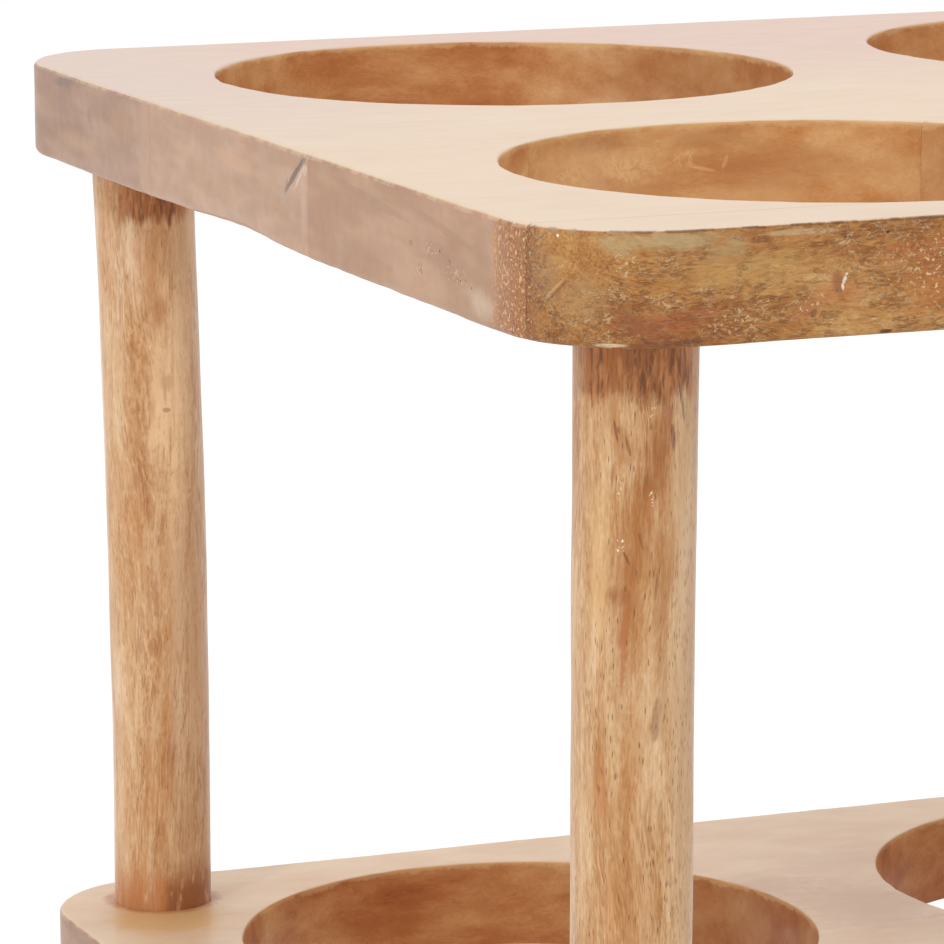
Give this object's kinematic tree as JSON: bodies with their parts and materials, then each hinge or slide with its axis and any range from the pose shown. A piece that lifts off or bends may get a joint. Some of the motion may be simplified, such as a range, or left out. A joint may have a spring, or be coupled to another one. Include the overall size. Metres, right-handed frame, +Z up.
{
  "type": "egg holder tray",
  "caption": "Small wooden egg holder: two thin rounded panels with rows of round egg holes, one above the other on corner posts that also form short legs.",
  "frame": {"origin": "on the table under the middle of the tray, at the centre of the bottom of its box", "axes": "+X along the long side, +Y from the front edge to the back edge, +Z up"},
  "size_m": [0.158, 0.102, 0.0855],
  "materials": {
    "upper_tier_wood": "clear satin lacquer over golden brown hardwood",
    "lower_tier_wood": "clear satin lacquer over golden brown hardwood",
    "post_wood": "clear satin lacquer over straight-grained dowel"
  },
  "bodies": {
    "root": {"upper_front_stave": "upper_tier_wood", "upper_second_stave_left_end": "upper_tier_wood", "upper_second_stave_left_web": "upper_tier_wood", "upper_second_stave_right_web": "upper_tier_wood", "upper_second_stave_right_end": "upper_tier_wood", "upper_third_stave": "upper_tier_wood", "upper_back_stave": "upper_tier_wood", "lower_front_stave": "lower_tier_wood", "lower_second_stave_left_end": "lower_tier_wood", "lower_second_stave_left_web": "lower_tier_wood", "lower_second_stave_right_web": "lower_tier_wood", "lower_second_stave_right_end": "lower_tier_wood", "lower_third_stave": "lower_tier_wood", "lower_back_stave": "lower_tier_wood", "post_front_left": "post_wood", "post_front_right": "post_wood", "post_back_left": "post_wood", "post_back_right": "post_wood"}
  },
  "joints": []
}
